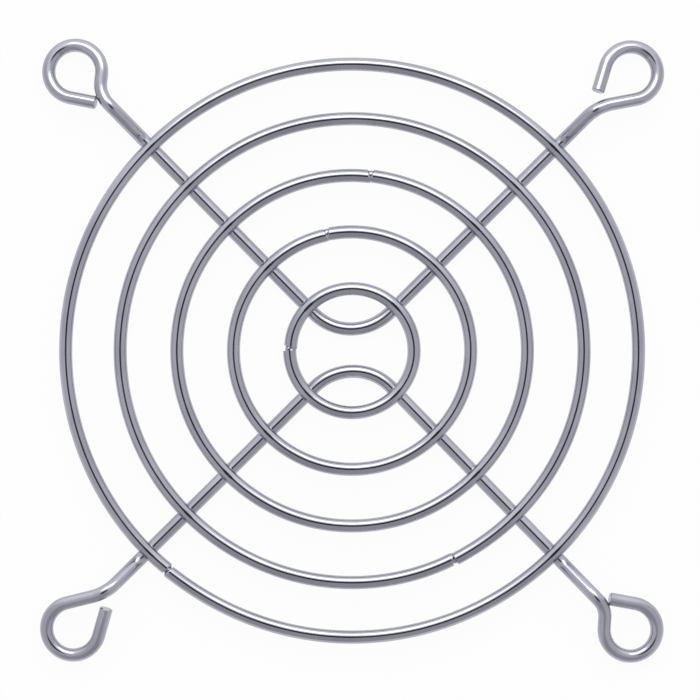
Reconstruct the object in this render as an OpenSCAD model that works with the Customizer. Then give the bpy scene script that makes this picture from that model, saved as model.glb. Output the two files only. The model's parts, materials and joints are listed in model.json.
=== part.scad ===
// Wire fan guard: five concentric rings welded across two identical bent support wires.
// The guard lies on its support wires, which touch the ground at z = 0, and its axis is the Z axis.
// The rings sit on top of the support wires. Past the outer ring each arm of a support wire joggles up
// and then droops into a screw eye, which its screw springs flat. The four eyes stand on a square at the
// screw spacing of the fan.

/* [Wire] */
// Diameter of the round steel wire that every piece is bent from
wire_d = 1.7; // [1.5:0.05:1.8]

/* [Rings] */
// Radius of the innermost ring, to the middle of its wire
inner_ring_r = 7.94; // [7.4:0.02:8.6]
// Step in radius from one ring to the next, for the four inner rings
ring_pitch = 7.26; // [6.8:0.02:7.6]
// Radius of the outer ring, to the middle of its wire
outer_ring_r = 36.7; // [36:0.1:37.4]
// How far each ring is pressed down into the support wires by its welds
weld_sink = 0.2; // [0.1:0.05:0.4]
// Width of the gap that is left around a ring where its two ends are butt welded
seam_w = 0.3; // [0.2:0.05:0.6]
// Diameter of the weld that bridges this gap
seam_neck_d = 1.1; // [0.6:0.1:1.3]

/* [Support wires] */
// Radius of the bow that joins the two arms of a support wire at the middle of the guard
bow_r = 6.8; // [6:0.1:7.4]
// Clearance between the outer ring and the corner where an arm starts to rise
joggle_gap = 0.7; // [0.5:0.1:1]
// Height from the arm's lower corner to its upper corner, above which no part of it stands
joggle_rise = 3; // [2.8:0.1:4]
// Radius of the two bends of the joggle, to the middle of the wire
joggle_bend_r = 1.6; // [1.2:0.1:1.8]

/* [Screw eyes] */
// Distance between the centres of neighbouring screw eyes, which is the fan's screw spacing
screw_pitch = 71.5; // [71:0.1:72.5]
// Diameter of the hole inside each eye
eye_hole_d = 5.2; // [4.6:0.1:5.4]
// Distance in plan from the centre of an eye to the upper corner of its arm's joggle
eye_flat = 8.6; // [8.5:0.1:9]
// Angle at which an eye slopes down from that corner, towards the corner of the guard
eye_droop = 13; // [8:1:13]
// Distance from the centre of a long-necked eye to the corner of its neck
long_neck = 6.3; // [6:0.1:6.4]
// Distance from the centre of a short-necked eye to the corner of its neck
short_neck = 4.6; // [4.5:0.1:5]
// Radius of the bend at the corner of a long neck, to the middle of the wire
long_neck_bend_r = 4.8; // [4:0.1:5]
// Radius of the bend at the corner of a short neck, to the middle of the wire
short_neck_bend_r = 3.4; // [3:0.1:4]
// Angle between the arm and the straight tail that closes an eye
tail_angle = 30; // [27:1:33]
// Length of that tail
tail_len = 3.4; // [2.6:0.1:3.5]

/* [Hidden] */
$fn = 72;

plated_steel = [0.74, 0.74, 0.78];

// Direction from the middle of the guard to the butt seam of each ring, inner ring first
seam_angles = [178, 102, 84, -64, 230];

// Directions of the two arms of a support wire. They stand at a right angle.
long_arm_angle = 45;
short_arm_angle = 135;

// A bend is this much fuller in radius than the straight wire, and each straight runs this far into
// the bends at its ends, so the two meet in a clean step that is too small to see or feel.
bend_swell = 0.01;
lap = 0.02;

wire_r = wire_d / 2;
support_z = wire_r + bend_swell;
ring_z = support_z + wire_d - weld_sink;
ring_r = concat([for (i = [0:3]) inner_ring_r + i * ring_pitch], outer_ring_r);

// Radii along an arm, from the middle of the guard: the lower and the upper corner of the joggle,
// and the centre of the screw eye
joggle_low = outer_ring_r + wire_r + joggle_gap;
eye_at = screw_pitch / sqrt(2);
joggle_high = eye_at - eye_flat;
joggle_run = joggle_high - joggle_low;
joggle_angle = atan2(joggle_rise, joggle_run);

// Radius of an eye's loop, to the middle of the wire
eye_r = eye_hole_d / 2 + wire_r;

// Ways in which a bend can turn the wire, as seen along the wire
LEFT = 0;
UP = 90;
RIGHT = 180;
DOWN = 270;

// Length of straight that a bend takes up on each side of its corner
function setback(r, angle) = r * tan(angle / 2);

// Angle between the arm and a neck whose corner is this far from the centre of the eye
function neck_angle(neck) = asin(eye_r / neck);

// One arm, from the end of the bow, as a list of bends. Each row holds the straight before the bend,
// then the bend's radius, angle and direction. The last row is the tail and has no bend. From the second
// bend on the wire lies in the eye's own plane.
function arm_bends(neck, neck_bend_r) = [
    [joggle_low - bow_r - setback(joggle_bend_r, joggle_angle),
     joggle_bend_r, joggle_angle, UP],
    [norm([joggle_run, joggle_rise]) - setback(joggle_bend_r, joggle_angle)
     - setback(joggle_bend_r, joggle_angle + eye_droop),
     joggle_bend_r, joggle_angle + eye_droop, DOWN],
    [eye_flat / cos(eye_droop) - neck - setback(joggle_bend_r, joggle_angle + eye_droop)
     - setback(neck_bend_r, neck_angle(neck)),
     neck_bend_r, neck_angle(neck), RIGHT],
    [eye_r / tan(neck_angle(neck)) - setback(neck_bend_r, neck_angle(neck)),
     eye_r, 180 + neck_angle(neck) + tail_angle, LEFT],
    [tail_len, 0, 0, LEFT]
];

// An arc of wire that starts at the origin along +X and turns left
module bend(r, angle) {
    translate([0, r, 0])
        rotate([0, 0, -90])
            rotate_extrude(angle = angle)
                translate([r, 0])
                    circle(r = wire_r + bend_swell);
}

// A wire that starts at the origin along +X, out of a bend, and follows a list of bends
module bent_wire(bends, i = 0) {
    run = bends[i][0];
    r = bends[i][1];
    angle = bends[i][2];
    direction = bends[i][3];
    end_lap = angle > 0 ? lap : 0;
    translate([-lap, 0, 0])
        rotate([0, 90, 0])
            cylinder(h = lap + run + end_lap, r = wire_r);
    if (angle > 0)
        translate([run, 0, 0])
            rotate([direction, 0, 0]) {
                bend(r, angle);
                translate([r * sin(angle), r * (1 - cos(angle)), 0])
                    rotate([0, 0, angle])
                        rotate([-direction, 0, 0])
                            bent_wire(bends, i + 1);
            }
}

// One arm of a support wire, which points away from the middle of the guard
module arm(direction, neck, neck_bend_r) {
    rotate([0, 0, direction])
        translate([bow_r, 0, support_z])
            bent_wire(arm_bends(neck, neck_bend_r));
}

// The bow turns out of one arm's line and into the other's. Both lines pass through the axis, so the
// bow starts and ends at its own radius from it.
module bow() {
    rotate([0, 0, short_arm_angle])
        translate([bow_r, 0, support_z])
            rotate([0, 0, 180])
                bend(bow_r, 180 - short_arm_angle + long_arm_angle);
}

// The full ring of round wire, without its seam
module ring_wire(r) {
    translate([0, 0, ring_z])
        rotate_extrude()
            translate([r, 0])
                circle(r = wire_r);
}

// One support wire: the bow and its two arms, with a saddle under each ring
module support_wire() {
    color(plated_steel)
        difference() {
            union() {
                bow();
                arm(long_arm_angle, long_neck, long_neck_bend_r);
                arm(short_arm_angle, short_neck, short_neck_bend_r);
            }
            for (r = ring_r)
                ring_wire(r);
        }
}

// One ring: a wire bent round until its ends almost meet, and the butt weld between them
module ring(i) {
    r = ring_r[i];
    gap = seam_w / r * 180 / PI;
    neck_len = 3 * seam_w;
    color(plated_steel)
        translate([0, 0, ring_z])
            rotate([0, 0, seam_angles[i]]) {
                rotate([0, 0, gap / 2])
                    rotate_extrude(angle = 360 - gap)
                        translate([r, 0])
                            circle(r = wire_r);
                translate([r, 0, 0])
                    rotate([90, 0, 0])
                        cylinder(h = neck_len, d = seam_neck_d, center = true);
            }
}

module inner_ring() {
    ring(0);
}

module second_ring() {
    ring(1);
}

module third_ring() {
    ring(2);
}

module fourth_ring() {
    ring(3);
}

module outer_ring() {
    ring(4);
}

module back_support_wire() {
    support_wire();
}

module front_support_wire() {
    rotate([0, 0, 180])
        support_wire();
}

inner_ring();
second_ring();
third_ring();
fourth_ring();
outer_ring();
back_support_wire();
front_support_wire();
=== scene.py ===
"""Looks of the wire fan guard: five butt welded rings lie across two bent support wires, all bright plated.

Every wire is swept along its own centreline by a geometry node tree, and replaces the CAD node of the same
name. A last piece holds the small fillets of weld metal at the crossings.
"""

import json
import math

import bpy
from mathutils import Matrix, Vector


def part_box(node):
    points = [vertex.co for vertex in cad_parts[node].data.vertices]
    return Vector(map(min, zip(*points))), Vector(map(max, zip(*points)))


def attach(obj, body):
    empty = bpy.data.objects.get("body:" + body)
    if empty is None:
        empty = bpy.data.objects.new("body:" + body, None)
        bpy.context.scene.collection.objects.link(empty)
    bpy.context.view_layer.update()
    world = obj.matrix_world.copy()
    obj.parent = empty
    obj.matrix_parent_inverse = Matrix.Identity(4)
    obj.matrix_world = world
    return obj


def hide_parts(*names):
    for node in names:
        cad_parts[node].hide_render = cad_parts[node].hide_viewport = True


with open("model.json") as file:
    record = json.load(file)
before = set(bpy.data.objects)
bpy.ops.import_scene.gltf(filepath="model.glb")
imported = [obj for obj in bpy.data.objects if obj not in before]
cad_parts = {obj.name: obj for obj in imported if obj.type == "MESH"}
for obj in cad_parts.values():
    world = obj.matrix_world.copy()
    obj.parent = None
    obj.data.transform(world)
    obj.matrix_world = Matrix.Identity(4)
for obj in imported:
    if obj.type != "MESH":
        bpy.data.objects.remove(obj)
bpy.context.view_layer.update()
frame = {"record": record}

MM = 0.001

# ---------------------------------------------------------------------------------------------------------
# Sizes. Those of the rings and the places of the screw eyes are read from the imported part.
# ---------------------------------------------------------------------------------------------------------

RINGS = ["inner_ring", "second_ring", "third_ring", "fourth_ring", "outer_ring"]
ring_low, ring_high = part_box("outer_ring")
WIRE_R = round((ring_high.z - ring_low.z) / 2, 5)
RING_Z = (ring_high.z + ring_low.z) / 2
RING_R = {name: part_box(name)[1].x - WIRE_R for name in RINGS}
SUPPORT_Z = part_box("back_support_wire")[0].z + WIRE_R
EYES = {mount["name"]: Vector(mount["pos_m"]) for mount in frame["record"]["mounts"]}
EYE_AT = EYES["screw_eye_back_right"].xy.length

# Support wires: the loop of an eye, and the place where an arm leaves the bow
EYE_R = 2.55 * MM + WIRE_R
BOW_R = 6.8 * MM
CUT_EDGE_ROUNDING = 0.12 * MM

# An arm takes up its climb within CLIMB_EASE of CLIMB_FROM. It turns over into its droop from OVER_BEFORE short
# of the end of its climb to OVER_AFTER past it.
CLIMB_FROM = 38.6 * MM
CLIMB_EASE = 0.7 * MM
OVER_BEFORE = 0.6 * MM
OVER_AFTER = 2.0 * MM

# Marks of the welds at the crossings, the first of which lies at FIRST_CROSSING
FIRST_CROSSING = math.radians(45)
RING_PRESS_DEPTH = 0.015 * MM
RING_PRESS_REACH = 0.8 * MM
SUPPORT_PRESS_DEPTH = 0.02 * MM
SUPPORT_PRESS_REACH = 0.9 * MM
FILLET_R = 0.15 * MM

# How finely the wires are made. A ring has SEAM_POINTS and RING_POINTS_PER_MM more for each mm of its radius.
WIRE_SIDES = 48
SEAM_POINTS = 240
RING_POINTS_PER_MM = 18


# ---------------------------------------------------------------------------------------------------------
# Node trees
# ---------------------------------------------------------------------------------------------------------

class Tree:
    """A node tree, with short calls that add a node, set or join its inputs and give back an output."""

    def __init__(self, tree):
        self.tree = tree

    def add(self, kind, out=0, inputs=None, **settings):
        """Sockets are named by their name, or by their index among those that are in use."""
        node = self.tree.nodes.new(kind)
        for name, value in settings.items():
            setattr(node, name, value)
        for name, value in (inputs or {}).items():
            socket = self.socket(node.inputs, name)
            if isinstance(value, bpy.types.NodeSocket):
                self.tree.links.new(value, socket)
            else:
                socket.default_value = value
        return self.socket(node.outputs, out)

    @staticmethod
    def socket(sockets, name):
        in_use = [s for s in sockets if s.enabled]
        return in_use[name] if isinstance(name, int) else next(s for s in in_use if s.name == name)

    def output(self, kind, shader):
        """Adds the output node that ends a shader tree."""
        self.tree.links.new(shader, self.tree.nodes.new(kind).inputs["Surface"])

    def math(self, operation, *values):
        return self.add("ShaderNodeMath", inputs=dict(enumerate(values)), operation=operation)

    def vector(self, operation, *values):
        out = "Value" if operation == "DOT_PRODUCT" else "Vector"
        return self.add("ShaderNodeVectorMath", out, dict(enumerate(values)), operation=operation)

    def scaled(self, vector, factor):
        return self.add("ShaderNodeVectorMath", inputs={"Vector": vector, "Scale": factor}, operation="SCALE")

    def xyz(self, x, y, z):
        return self.add("ShaderNodeCombineXYZ", inputs={0: x, 1: y, 2: z})

    def sum(self, *values):
        total = values[0]
        for value in values[1:]:
            total = self.math("ADD", total, value)
        return total

    def product(self, *values):
        total = values[0]
        for value in values[1:]:
            total = self.math("MULTIPLY", total, value)
        return total

    def ramp(self, value, low, high, to_low=0.0, to_high=1.0):
        """A smooth step from to_low, where value is at low, to to_high, where it is at high."""
        return self.add("ShaderNodeMapRange", interpolation_type="SMOOTHSTEP", inputs={
            "Value": value, "From Min": low, "From Max": high, "To Min": to_low, "To Max": to_high})

    def plateau(self, value, reach):
        """1 where value is near 0, falling off to 0 a little past reach on either side."""
        share = self.math("ABSOLUTE", self.math("DIVIDE", value, reach))
        return self.math("EXPONENT", self.math("MULTIPLY", -1.0, self.math("POWER", share, 4.0)))


class GeometryTree(Tree):
    """A geometry node tree whose sizes are named inputs."""

    def __init__(self, name, **sizes):
        super().__init__(bpy.data.node_groups.new(name, "GeometryNodeTree"))
        face = self.tree.interface
        face.new_socket("Geometry", in_out="INPUT", socket_type="NodeSocketGeometry")
        face.new_socket("Geometry", in_out="OUTPUT", socket_type="NodeSocketGeometry")
        for size, kind in sizes.items():
            face.new_socket(size.replace("_", " "), in_out="INPUT", socket_type="NodeSocket" + kind)
        self.group = self.tree.nodes.new("NodeGroupInput")

    def size(self, name):
        return self.group.outputs[name.replace("_", " ")]

    def position(self):
        return self.add("GeometryNodeInputPosition")

    def named(self, name, kind="FLOAT"):
        return self.add("GeometryNodeInputNamedAttribute", inputs={"Name": name}, data_type=kind)

    def store(self, geometry, name, value, kind="FLOAT"):
        return self.add("GeometryNodeStoreNamedAttribute", data_type=kind, domain="POINT",
                        inputs={"Geometry": geometry, "Name": name, "Value": value})

    def forget(self, geometry, *names):
        for name in names:
            geometry = self.add("GeometryNodeRemoveAttribute", inputs={"Geometry": geometry, "Name": name})
        return geometry

    def finish(self, geometry, plating):
        real = self.add("GeometryNodeRealizeInstances", inputs={"Geometry": geometry})
        done = self.add("GeometryNodeSetMaterial", inputs={"Geometry": real, "Material": plating})
        self.tree.links.new(done, self.tree.nodes.new("NodeGroupOutput").inputs[0])
        return self.tree


def sweep_wire(t, curve, wire_r, sides, plating):
    """Adds the nodes that sweep a round wire along a curve and leave the marks of its making on it.

    The curve's points carry thickness, a share of the wire's own, and press and press_below, which say how deep
    a tool has flattened the wire from above and from below. The skin keeps wire_place for its material: across,
    height and way along the wire.
    """
    curve = t.store(curve, "centre", t.position(), "FLOAT_VECTOR")
    curve = t.store(curve, "run", t.add("GeometryNodeInputTangent"), "FLOAT_VECTOR")
    curve = t.store(curve, "along", t.add("GeometryNodeSplineParameter", out="Length"))
    profile = t.add("GeometryNodeCurvePrimitiveCircle", inputs={"Resolution": sides, "Radius": wire_r})
    skin = t.add("GeometryNodeCurveToMesh", inputs={
        "Curve": curve, "Profile Curve": profile, "Scale": t.named("thickness"), "Fill Caps": True})

    run = t.named("run", "FLOAT_VECTOR")
    from_centre = t.vector("SUBTRACT", t.position(), t.named("centre", "FLOAT_VECTOR"))
    steep = t.scaled(run, t.vector("DOT_PRODUCT", run, (0, 0, 1)))
    up = t.vector("NORMALIZE", t.vector("SUBTRACT", (0, 0, 1), steep))
    height = t.vector("DOT_PRODUCT", from_centre, up)
    side = t.vector("DOT_PRODUCT", from_centre, t.vector("CROSS_PRODUCT", run, up))
    place = t.xyz(t.math("DIVIDE", side, wire_r), t.math("DIVIDE", height, wire_r), t.named("along"))
    skin = t.store(skin, "wire_place", place, "FLOAT_VECTOR")

    flat_above = t.math("SUBTRACT", wire_r, t.named("press"))
    flat_below = t.math("SUBTRACT", wire_r, t.named("press_below"))
    above = t.math("MAXIMUM", 0.0, t.math("SUBTRACT", height, flat_above))
    below = t.math("MAXIMUM", 0.0, t.math("SUBTRACT", t.math("MULTIPLY", height, -1.0), flat_below))
    skin = t.add("GeometryNodeSetPosition", inputs={
        "Geometry": skin, "Offset": t.scaled(up, t.math("SUBTRACT", below, above))})

    # Only the edge of a cut end stays sharp
    corner = t.math("GREATER_THAN", t.add("GeometryNodeInputMeshEdgeAngle"), math.radians(38))
    skin = t.add("GeometryNodeSetShadeSmooth", inputs={"Geometry": skin, "Shade Smooth": True}, domain="FACE")
    skin = t.add("GeometryNodeSetShadeSmooth", domain="EDGE", inputs={
        "Geometry": skin, "Selection": corner, "Shade Smooth": False})
    skin = t.forget(skin, "centre", "run", "along", "thickness", "press", "press_below")
    return t.finish(skin, plating)


def butt_welded_ring_tree():
    """A ring that is bent from one wire, with a narrow butt seam and a flat where each weld was pressed."""
    t = GeometryTree("butt_welded_ring", Ring_Radius="Float", Height="Float", Wire_Radius="Float",
                     Seam_Angle="Float", Seam_Width="Float", Notch_Depth="Float", Notch_Inward="Float",
                     End_Step="Float", End_Rise="Float", First_Crossing="Float", Press_Depth="Float",
                     Press_Length="Float", Seed="Int", Points="Int", Sides="Int", Plating="Material")
    ring_r = t.size("Ring_Radius")

    # The points crowd together round the seam: u runs from -1 to 1, and the seam is at 0.
    crowd, reach = 0.12, 0.03
    u = t.math("DIVIDE", t.math("ADD", t.add("GeometryNodeInputIndex"), 0.5), t.size("Points"))
    u = t.math("MULTIPLY_ADD", u, 2.0, -1.0)
    pull = t.math("MULTIPLY", t.math("TANH", t.math("DIVIDE", u, reach)), reach * (1 - crowd))
    from_seam = t.math("MULTIPLY", t.math("SUBTRACT", u, pull), math.pi / (1 - reach * (1 - crowd)))
    angle = t.math("ADD", from_seam, t.size("Seam_Angle"))
    arc = t.math("MULTIPLY", from_seam, ring_r)

    # At the seam the wire is notched, and its two ends stand a little apart: they step and rise from one to
    # the other, and this dies away over the length settle.
    half_seam = t.math("MULTIPLY", t.size("Seam_Width"), 0.5)
    settle = 2.5 * MM
    notch = t.math("MULTIPLY", t.plateau(arc, half_seam), t.size("Notch_Depth"))
    apart = t.product(t.math("TANH", t.math("DIVIDE", arc, half_seam)), 0.5, t.math(
        "EXPONENT", t.math("MULTIPLY", t.math("ABSOLUTE", arc), -1 / settle)))
    radius = t.sum(ring_r, t.product(notch, t.size("Notch_Inward"), t.size("Wire_Radius")),
                   t.math("MULTIPLY", apart, t.size("End_Step")))
    place = t.xyz(t.math("MULTIPLY", radius, t.math("COSINE", angle)),
                  t.math("MULTIPLY", radius, t.math("SINE", angle)),
                  t.math("ADD", t.size("Height"), t.math("MULTIPLY", apart, t.size("End_Rise"))))

    # The four crossings are a quarter turn apart, and each was pressed a little more or less than the next.
    quarter = math.pi / 2
    past = t.math("SUBTRACT", angle, t.size("First_Crossing"))
    to_crossing = t.math("MULTIPLY", ring_r, t.math("WRAP", past, quarter / 2, -quarter / 2))
    crossing = t.math("FLOORED_MODULO", t.math("ROUND", t.math("DIVIDE", past, quarter)), 4.0)
    chance = t.add("ShaderNodeTexWhiteNoise", noise_dimensions="2D", inputs={
        "Vector": t.xyz(crossing, t.size("Seed"), 0.0)})
    press = t.product(t.size("Press_Depth"), t.plateau(to_crossing, t.size("Press_Length")),
                      t.math("MULTIPLY_ADD", chance, 1.0, 0.5))

    line = t.add("GeometryNodeCurvePrimitiveLine")
    line = t.add("GeometryNodeResampleCurve", inputs={"Curve": line, "Count": t.size("Points")})
    line = t.store(line, "thickness", t.math("SUBTRACT", 1.0, notch))
    line = t.store(line, "press", press)
    line = t.store(line, "press_below", 0.0)
    line = t.add("GeometryNodeSetPosition", inputs={"Geometry": line, "Position": place})
    loop = t.add("GeometryNodeSetSplineCyclic", inputs={"Geometry": line, "Cyclic": True})
    return sweep_wire(t, loop, t.size("Wire_Radius"), t.size("Sides"), t.size("Plating"))


def bent_wire_tree():
    """A support wire, swept along the chain of points that the bends give."""
    t = GeometryTree("bent_wire", Wire_Radius="Float", Sides="Int", Plating="Material")
    curve = t.add("GeometryNodeMeshToCurve", inputs={"Mesh": t.size("Geometry")})
    return sweep_wire(t, curve, t.size("Wire_Radius"), t.size("Sides"), t.size("Plating"))


def weld_fillets_tree():
    """The same band of weld metal at every crossing, bent to the ring it touches."""
    t = GeometryTree("weld_fillets", Fillet="Object", Plating="Material")
    band = t.add("GeometryNodeObjectInfo", out="Geometry", inputs={"Object": t.size("Fillet")})
    arm_angle = t.named("arm_angle")
    placed = t.add("GeometryNodeInstanceOnPoints", inputs={
        "Points": t.size("Geometry"), "Instance": band,
        "Rotation": t.add("FunctionNodeAxisAngleToRotation", inputs={"Axis": (0, 0, 1), "Angle": arm_angle})})
    real = t.add("GeometryNodeRealizeInstances", inputs={"Geometry": placed})
    outward = t.xyz(t.math("COSINE", arm_angle), t.math("SINE", arm_angle), 0.0)
    tangent = t.xyz(t.math("MULTIPLY", t.math("SINE", arm_angle), -1.0), t.math("COSINE", arm_angle), 0.0)
    along = t.vector("DOT_PRODUCT", t.position(), tangent)
    sag = t.math("DIVIDE", t.product(along, along, -0.5), t.named("ring_radius"))
    bent = t.add("GeometryNodeSetPosition", inputs={
        "Geometry": real, "Offset": t.scaled(outward, t.math("MULTIPLY", sag, t.named("on_ring")))})
    smooth = t.add("GeometryNodeSetShadeSmooth", inputs={"Geometry": bent, "Shade Smooth": True})
    return t.finish(t.forget(smooth, "arm_angle", "ring_radius", "on_ring"), t.size("Plating"))


def made(name, source, tree, sizes):
    """Runs a tree on a mesh and gives back its result as a plain mesh object."""
    modifier = source.modifiers.new(name, "NODES")
    modifier.node_group = tree
    for socket in tree.interface.items_tree:
        if socket.in_out == "INPUT" and socket.name in sizes:
            modifier[socket.identifier] = sizes[socket.name]
    bpy.context.view_layer.update()
    evaluated = source.evaluated_get(bpy.context.evaluated_depsgraph_get())
    mesh = bpy.data.meshes.new_from_object(evaluated)
    source.modifiers.remove(modifier)
    mesh.name = name
    piece = bpy.data.objects.new(name, mesh)
    bpy.context.scene.collection.objects.link(piece)
    return piece


def scratch_object(name, points, edges=(), faces=(), **attributes):
    """A mesh object built point by point, with float attributes on its points."""
    mesh = bpy.data.meshes.new(name)
    mesh.from_pydata([tuple(p) for p in points], list(edges), list(faces))
    for key, values in attributes.items():
        mesh.attributes.new(key, "FLOAT", "POINT").data.foreach_set("value", list(values))
    source = bpy.data.objects.new(name, mesh)
    bpy.context.scene.collection.objects.link(source)
    return source


# ---------------------------------------------------------------------------------------------------------
# Centrelines of the support wires
# ---------------------------------------------------------------------------------------------------------

class Arm:
    """One arm as it was bent by hand, in its own plan: X runs outwards from the middle of the guard.

    swing is the angle by which it strays from its direction and aside how far it starts beside it. The neck
    leaves the arm at neck_at, bends with radius neck_bend and meets the eye, whose centre lies at along past
    its nominal place and at aside_eye. The arm climbs at the angle climb as far as climb_to, and then droops.
    Angles are given in degrees and lengths in millimetres.
    """

    def __init__(self, direction, swing, aside, neck_at, neck_bend, along, aside_eye, tail_angle, tail,
                 climb, climb_to, droop):
        self.direction = math.radians(direction)
        self.swing = math.radians(swing)
        self.start = Vector((BOW_R, aside * MM))
        self.neck_at = neck_at * MM
        self.neck_bend = neck_bend * MM
        self.eye = Vector((EYE_AT + along * MM, aside_eye * MM))
        self.tail_angle = math.radians(tail_angle)
        self.tail = tail * MM
        self.climb = math.radians(climb)
        self.climb_to = climb_to * MM
        self.droop = math.radians(droop)

    def plan(self, step=0.12 * MM):
        """Points of the plan with the heading at each, from the end of the bow to the cut end of the tail."""
        walk = [(self.start.copy(), self.swing)]

        def straight(length):
            at, heading = walk[-1]
            count = max(1, math.ceil(length / step))
            for i in range(1, count + 1):
                ahead = Vector((math.cos(heading), math.sin(heading))) * (length * i / count)
                walk.append((at + ahead, heading))

        def bend(radius, angle):
            at, heading = walk[-1]
            side = math.copysign(1.0, angle)
            centre = at + Vector((-math.sin(heading), math.cos(heading))) * (radius * side)
            count = max(2, math.ceil(abs(angle) * radius / step))
            for i in range(1, count + 1):
                now = heading + angle * i / count
                spoke = Vector((math.sin(now), -math.cos(now))) * (radius * side)
                walk.append((centre + spoke, now))

        outward = Vector((math.cos(self.swing), math.sin(self.swing)))
        corner = self.start + outward * ((self.neck_at - self.start.x) / outward.x)
        to_eye = self.eye - corner
        neck_heading = math.atan2(to_eye.y, to_eye.x) - math.asin(EYE_R / to_eye.length)
        turn = self.swing - neck_heading
        setback = self.neck_bend * math.tan(turn / 2)
        straight((corner - self.start).length - setback)
        bend(self.neck_bend, -turn)
        straight(math.sqrt(to_eye.length_squared - EYE_R ** 2) - setback)
        bend(EYE_R, math.pi - neck_heading + self.tail_angle)
        straight(self.tail)
        return walk

    def heights(self, walk):
        """Height of each point over the arm's level part: it climbs, turns over and droops with its eye."""
        heights, last = [0.0], walk[0][0]
        gone = last.x
        for at, heading in walk[1:]:
            step = (at - last).length
            gone += step
            last = at
            drooping = math.atan(-math.tan(self.droop) * math.cos(heading))
            climbing = share(gone, CLIMB_FROM - CLIMB_EASE, CLIMB_FROM + CLIMB_EASE) * self.climb
            over = share(gone, self.climb_to - OVER_BEFORE, self.climb_to + OVER_AFTER)
            slope = climbing + (drooping - climbing) * over
            heights.append(heights[-1] + math.tan(slope) * step)
        return heights

    def points(self):
        """Points of the arm at their places in the guard."""
        walk = self.plan()
        cosine, sine = math.cos(self.direction), math.sin(self.direction)
        return [Vector((at.x * cosine - at.y * sine, at.x * sine + at.y * cosine, SUPPORT_Z + height))
                for (at, _), height in zip(walk, self.heights(walk))]


def share(value, low, high):
    """How far value has come from low to high: 0 at low or before it, 1 at high or past it."""
    return min(1.0, max(0.0, (value - low) / (high - low)))


ARMS = {
    "back_right": Arm(direction=45, swing=-0.2, aside=0.03, neck_at=44.25, neck_bend=6.4, along=-0.16,
                      aside_eye=-0.15, tail_angle=28, tail=3.5, climb=31, climb_to=42.8, droop=15),
    "front_left": Arm(direction=225, swing=-0.35, aside=-0.12, neck_at=44.3, neck_bend=6.7, along=-0.11,
                      aside_eye=-0.1, tail_angle=29, tail=3.7, climb=29.5, climb_to=43.2, droop=13),
    "back_left": Arm(direction=135, swing=-0.57, aside=0.1, neck_at=46.1, neck_bend=3.6, along=-0.2,
                     aside_eye=-0.19, tail_angle=33.8, tail=3.4, climb=30.5, climb_to=42.9, droop=15),
    "front_right": Arm(direction=315, swing=-0.75, aside=0.22, neck_at=46.2, neck_bend=3.0, along=-0.06,
                       aside_eye=-0.05, tail_angle=34.6, tail=3.4, climb=26.5, climb_to=43.6, droop=13),
}


def bow_points(start, start_from, end, end_from, count=90, fullness=0.39):
    """The bow, as a smooth curve that leaves one arm's end and runs into the other's."""
    reach = (start - end).length * fullness
    first = start + (start - start_from).normalized() * reach
    second = end + (end - end_from).normalized() * reach
    points = []
    for i in range(1, count):
        t = i / count
        points.append(start * (1 - t) ** 3 + first * (3 * t * (1 - t) ** 2)
                      + second * (3 * t * t * (1 - t)) + end * t ** 3)
    return points


def support_wire(name, short_arm, long_arm, plating, tree):
    """One support wire: short-necked eye, arm, bow, arm, long-necked eye."""
    first, last = ARMS[short_arm].points(), ARMS[long_arm].points()
    points = first[::-1] + bow_points(first[0], first[1], last[0], last[1]) + last
    lengths = [0.0]
    for a, b in zip(points, points[1:]):
        lengths.append(lengths[-1] + (b - a).length)

    def thickness(at):
        """The edges of the two cut ends are rounded."""
        inset = max(0.0, 1 - min(at, lengths[-1] - at) / CUT_EDGE_ROUNDING)
        return 1 - (1 - math.sqrt(max(0.0, 1 - inset * inset))) * CUT_EDGE_ROUNDING / WIRE_R

    past_welds = RING_R["outer_ring"] + 1.2 * MM

    def press_below(point):
        """The welding tool has flattened the wire below each ring."""
        outward = point.xy.length
        if outward >= past_welds:
            return 0.0
        from_ring = min(abs(outward - ring_r) for ring_r in RING_R.values())
        return SUPPORT_PRESS_DEPTH * math.exp(-(from_ring / SUPPORT_PRESS_REACH) ** 4)

    chain = scratch_object(
        name + "_centreline", points, edges=[(i, i + 1) for i in range(len(points) - 1)],
        thickness=[thickness(at) for at in lengths], press=[0.0] * len(points),
        press_below=[press_below(point) for point in points])
    piece = made(name + "_look", chain, tree, {
        "Wire Radius": WIRE_R, "Sides": WIRE_SIDES, "Plating": plating})
    bpy.data.objects.remove(chain)
    return piece


# ---------------------------------------------------------------------------------------------------------
# Weld fillets
# ---------------------------------------------------------------------------------------------------------

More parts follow.
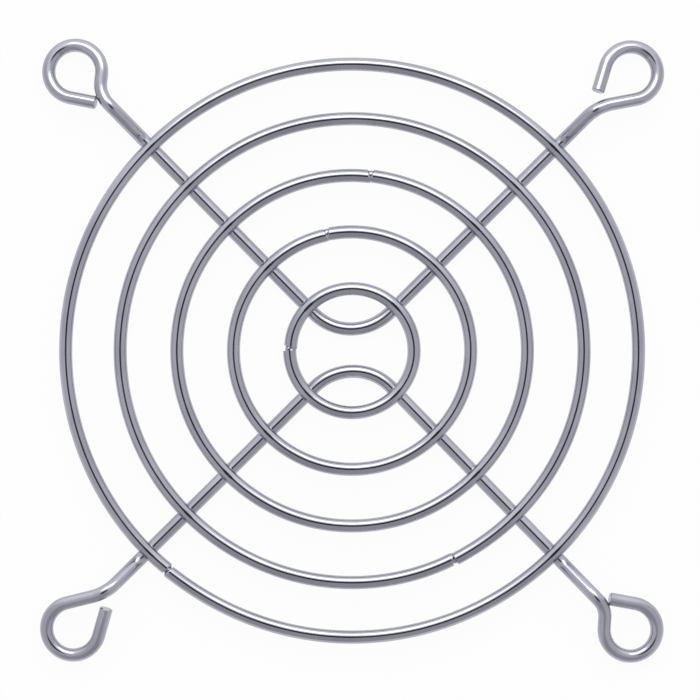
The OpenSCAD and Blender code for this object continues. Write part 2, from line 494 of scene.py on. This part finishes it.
def fillet_band(fillet_r, turns=48, steps=8, sunk=0.25 * MM):
    """The band of weld metal round one contact, as a ball of fillet_r rolled round it would leave it.

    The ring runs along Y above, and the arm along X below. The band's inner edge is sunk in the wires.
    """
    reach = WIRE_R + fillet_r
    half_gap = (RING_Z - SUPPORT_Z) / 2
    points, on_ring, faces = [], [], []
    for i in range(turns):
        a = 2 * math.pi * i / turns
        z = (reach - half_gap) * math.cos(2 * a)
        x = math.copysign(math.sqrt(max(0.0, reach ** 2 - (z - half_gap) ** 2)), math.cos(a))
        y = math.copysign(math.sqrt(max(0.0, reach ** 2 - (z + half_gap) ** 2)), math.sin(a))
        ball = Vector((x, y, z))
        to_ring = (Vector((0, y, half_gap)) - ball).normalized()
        to_arm = (Vector((x, 0, -half_gap)) - ball).normalized()
        for k in range(steps + 1):
            points.append(ball + to_ring.slerp(to_arm, k / steps) * fillet_r)
            on_ring.append(1 - k / steps)
        points.append(ball + (to_ring + to_arm).normalized() * (fillet_r + sunk))
        on_ring.append(0.5)
    row = steps + 2
    for i in range(turns):
        for k in range(row):
            a, b = i * row + k, i * row + (k + 1) % row
            c, d = (i + 1) % turns * row + (k + 1) % row, (i + 1) % turns * row + k
            faces.append((a, d, c, b))
    return scratch_object("fillet_band", points, faces=faces, on_ring=on_ring)


def weld_fillets(plating):
    """One piece that holds the fillets of all twenty crossings."""
    points, angles, radii = [], [], []
    for ring_r in RING_R.values():
        for k in range(4):
            angle = FIRST_CROSSING + math.radians(90 * k)
            points.append((ring_r * math.cos(angle), ring_r * math.sin(angle), (RING_Z + SUPPORT_Z) / 2))
            angles.append(angle)
            radii.append(ring_r)
    crossings = scratch_object("crossings", points, arm_angle=angles, ring_radius=radii)
    band = fillet_band(FILLET_R)
    piece = made("weld_fillets", crossings, weld_fillets_tree(), {"Fillet": band, "Plating": plating})
    bpy.data.objects.remove(crossings)
    bpy.data.objects.remove(band)
    return piece


# ---------------------------------------------------------------------------------------------------------
# Materials
# ---------------------------------------------------------------------------------------------------------

def new_material(name):
    material = bpy.data.materials.new(name)
    material.use_nodes = True
    material.node_tree.nodes.clear()
    return material, Tree(material.node_tree)


def bright_plating(name):
    """Bright plated steel wire: fine drawing lines along the wire, a little orange peel and faint blotches."""
    material, t = new_material(name)
    place = t.add("ShaderNodeAttribute", out="Vector", attribute_name="wire_place")
    stretched = t.vector("MULTIPLY", place, (3.0, 3.0, 60.0))
    lines = t.add("ShaderNodeTexNoise", inputs={
        "Vector": stretched, "Scale": 2.0, "Detail": 4.0, "Roughness": 0.7})
    spot = t.add("ShaderNodeTexCoord", out="Object")
    peel = t.add("ShaderNodeTexNoise", inputs={"Vector": spot, "Scale": 1800.0, "Detail": 2.0})
    blotch = t.add("ShaderNodeTexNoise", inputs={"Vector": spot, "Scale": 160.0, "Detail": 3.0})
    colour = t.add("ShaderNodeMix", data_type="RGBA", out=0, inputs={
        "Factor": t.ramp(blotch, 0.35, 0.65), "A": (0.42, 0.425, 0.48, 1), "B": (0.48, 0.485, 0.54, 1)})
    rough = t.add("ShaderNodeMapRange", inputs={
        "Value": lines, "From Min": 0.3, "From Max": 0.7, "To Min": 0.08, "To Max": 0.17})
    ridges = t.sum(lines, t.math("MULTIPLY", peel, 0.35))
    bump = t.add("ShaderNodeBump", inputs={"Height": ridges, "Strength": 0.25, "Distance": 0.01 * MM})
    t.output("ShaderNodeOutputMaterial", t.add("ShaderNodeBsdfPrincipled", inputs={
        "Base Color": colour, "Metallic": 1.0, "Roughness": rough, "Normal": bump}))
    return material


def white_floor(name):
    """A white floor that a camera and a mirror see as white, and that still takes the guard's shadow."""
    material, t = new_material(name)
    rays = (("Is Camera Ray", 0.95), ("Is Glossy Ray", 0.6), ("Is Transmission Ray", 0.9))
    seen = t.sum(*(t.math("MULTIPLY", t.add("ShaderNodeLightPath", out=ray), shown) for ray, shown in rays))
    paper = t.add("ShaderNodeBsdfDiffuse", inputs={"Color": (0.9, 0.9, 0.9, 1)})
    glow = t.add("ShaderNodeEmission", inputs={"Color": (1, 1, 1, 1), "Strength": 1.0})
    t.output("ShaderNodeOutputMaterial", t.add("ShaderNodeMixShader", inputs={
        0: t.math("MINIMUM", seen, 1.0), 1: paper, 2: glow}))
    return material


# ---------------------------------------------------------------------------------------------------------
# The guard
# ---------------------------------------------------------------------------------------------------------

# How the two ends of each ring's wire meet: direction of the seam in degrees, depth of the notch as a share of
# the wire's radius, how far it opens to the inside of the ring, and the step and rise between the ends in
# millimetres.
SEAM_WIDTH = 0.3 * MM
SEAMS = {
    "inner_ring": dict(angle=178, notch=0.42, inward=0.3, step=0.14, rise=0.05),
    "second_ring": dict(angle=102, notch=0.36, inward=0.7, step=-0.08, rise=0.0),
    "third_ring": dict(angle=84, notch=0.42, inward=0.7, step=-0.1, rise=0.03),
    "fourth_ring": dict(angle=-64, notch=0.4, inward=0.2, step=0.16, rise=-0.04),
    "outer_ring": dict(angle=230, notch=0.38, inward=0.0, step=0.18, rise=0.05),
}

plating = bright_plating("bright_plated_wire")
ring_tree = butt_welded_ring_tree()
wire_tree = bent_wire_tree()

for seed, name in enumerate(RINGS):
    seam = SEAMS[name]
    source = scratch_object(name + "_source", [(0, 0, 0)])
    ring = made(name + "_look", source, ring_tree, {
        "Ring Radius": RING_R[name], "Height": RING_Z, "Wire Radius": WIRE_R,
        "Seam Angle": math.radians(seam["angle"]), "Seam Width": SEAM_WIDTH, "Notch Depth": seam["notch"],
        "Notch Inward": seam["inward"], "End Step": seam["step"] * MM, "End Rise": seam["rise"] * MM,
        "First Crossing": FIRST_CROSSING, "Press Depth": RING_PRESS_DEPTH, "Press Length": RING_PRESS_REACH,
        "Seed": seed, "Points": SEAM_POINTS + int(RING_R[name] / MM * RING_POINTS_PER_MM),
        "Sides": WIRE_SIDES, "Plating": plating})
    bpy.data.objects.remove(source)
    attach(ring, "root")
    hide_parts(name)

for name, short_arm, long_arm in (("back_support_wire", "back_left", "back_right"),
                                  ("front_support_wire", "front_right", "front_left")):
    wire = support_wire(name, short_arm, long_arm, plating, wire_tree)
    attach(wire, "root")
    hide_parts(name)

welds = weld_fillets(plating)
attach(welds, "root")

# ---------------------------------------------------------------------------------------------------------
# Floor, camera and light
# ---------------------------------------------------------------------------------------------------------

FLOOR_REACH = 3.0
floor = scratch_object("floor", [(-FLOOR_REACH, -FLOOR_REACH, 0), (FLOOR_REACH, -FLOOR_REACH, 0),
                                 (FLOOR_REACH, FLOOR_REACH, 0), (-FLOOR_REACH, FLOOR_REACH, 0)],
                       faces=[(0, 1, 2, 3)])
floor.data.materials.append(white_floor("white_paper"))

# The camera looks straight down from afar, and its view is this wide at the rings
VIEW_WIDTH = 89.67 * MM
camera = bpy.data.objects.new("camera", bpy.data.cameras.new("camera"))
bpy.context.scene.collection.objects.link(camera)
camera.data.sensor_width = 36.0
camera.data.lens = 800.0
distance = VIEW_WIDTH / camera.data.sensor_width * camera.data.lens
camera.location = (-0.27 * MM, 0.08 * MM, RING_Z + distance)
bpy.context.scene.camera = camera


def softbox(name, place, size, power):
    """A soft rectangular lamp that faces the guard and that the camera doesn't see."""
    lamp = bpy.data.lights.new(name, "AREA")
    lamp.shape = "RECTANGLE"
    lamp.size, lamp.size_y = size
    lamp.energy = power
    lamp_object = bpy.data.objects.new(name, lamp)
    lamp_object.location = place
    lamp_object.rotation_mode = "QUATERNION"
    lamp_object.rotation_quaternion = (-Vector(place)).to_track_quat("-Z", "Y")
    lamp_object.visible_camera = False
    bpy.context.scene.collection.objects.link(lamp_object)


def studio_world():
    """A soft studio: pale lilac walls, brighter at the back, greyer in front, and a dark opening overhead."""
    world = bpy.data.worlds.new("studio")
    world.use_nodes = True
    world.node_tree.nodes.clear()
    t = Tree(world.node_tree)
    direction = t.vector("NORMALIZE", t.add("ShaderNodeTexCoord", out="Generated"))
    x, y = (t.vector("DOT_PRODUCT", direction, axis) for axis in ((1, 0, 0), (0, 1, 0)))
    from_overhead = t.math("SQRT", t.math("ADD", t.math("MULTIPLY", x, x), t.math("MULTIPLY", y, y)))
    to_back = t.math("DIVIDE", y, t.math("MAXIMUM", from_overhead, 0.001))
    walls = t.sum(0.75,
                  t.math("MULTIPLY", t.ramp(to_back, 0.3, 0.9), 0.45),
                  t.math("MULTIPLY", t.ramp(to_back, -0.6, -0.85), -0.25))
    opening = t.ramp(from_overhead, 0.2, 0.3, 0.05, 1.0)
    t.output("ShaderNodeOutputWorld", t.add("ShaderNodeBackground", inputs={
        "Color": (0.96, 0.96, 1.0, 1), "Strength": t.math("MULTIPLY", walls, opening)}))
    bpy.context.scene.world = world


softbox("back_softbox", place=(0.0, 0.66, 0.76), size=(0.9, 0.5), power=2.4)
studio_world()
bpy.context.scene.view_settings.view_transform = "Standard"
